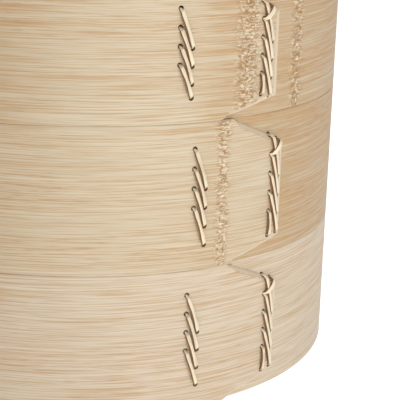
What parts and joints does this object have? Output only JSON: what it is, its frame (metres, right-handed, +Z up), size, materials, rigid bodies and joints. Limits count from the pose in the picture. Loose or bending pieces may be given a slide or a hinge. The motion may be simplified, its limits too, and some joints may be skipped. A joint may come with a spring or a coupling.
{
  "type": "bamboo steamer basket",
  "caption": "Round stacking bamboo steamer: bent-strip baskets with slatted floors, laced seams and a lift-off lid with a woven dome.",
  "frame": {"origin": "centre of the bottom of the bounding box, on the tiers' common axis to within a millimetre", "axes": "+Z up along the stack; the laced seams face -Y and +X"},
  "size_m": [0.1999, 0.2011, 0.1586],
  "materials": {
    "band_bamboo": "split bamboo, satin skin with fine vertical-fibre streaks and darker node scars",
    "hoop_bamboo": "planed bamboo, matt",
    "slat_bamboo": "split bamboo, matt inner face",
    "batten_bamboo": "split bamboo stick, matt",
    "peg_bamboo": "whittled bamboo pin, end grain showing",
    "weave_bamboo": "thin woven bamboo strips, satin",
    "rattan_lacing": "glossy skin-side rattan strip"
  },
  "bodies": {
    "lower_basket": {"lower_outer_band": "band_bamboo", "lower_rim_hoop": "hoop_bamboo", "lower_base_hoop": "hoop_bamboo", "lower_floor_slats": "slat_bamboo", "lower_cross_slats": "slat_bamboo", "lower_support_battens": "batten_bamboo", "lower_slat_lashings": "rattan_lacing", "lower_hoop_pegs": "peg_bamboo", "lower_start_lacing": "rattan_lacing", "lower_end_lacing": "rattan_lacing"},
    "upper_basket": {"upper_outer_band": "band_bamboo", "upper_rim_hoop": "hoop_bamboo", "upper_base_hoop": "hoop_bamboo", "upper_floor_slats": "slat_bamboo", "upper_cross_slats": "slat_bamboo", "upper_support_battens": "batten_bamboo", "upper_slat_lashings": "rattan_lacing", "upper_hoop_pegs": "peg_bamboo", "upper_start_lacing": "rattan_lacing", "upper_end_lacing": "rattan_lacing"},
    "lid": {"lid_skirt": "band_bamboo", "lid_hoop": "hoop_bamboo", "lid_lower_ring": "hoop_bamboo", "lid_upper_ring": "hoop_bamboo", "lid_warp_strips": "weave_bamboo", "lid_weft_strips": "weave_bamboo", "lid_edge_lashings": "rattan_lacing", "lid_hoop_pegs": "peg_bamboo", "lid_start_lacing": "rattan_lacing", "lid_end_lacing": "rattan_lacing"}
  },
  "joints": [
    {"name": "upper_basket_lift", "type": "slide", "parent": "lower_basket", "child": "upper_basket", "axis": [0, 0, 1], "range_m": [0, 0.12]},
    {"name": "lid_lift", "type": "slide", "parent": "upper_basket", "child": "lid", "axis": [0, 0, 1], "range_m": [0, 0.12]}
  ]
}
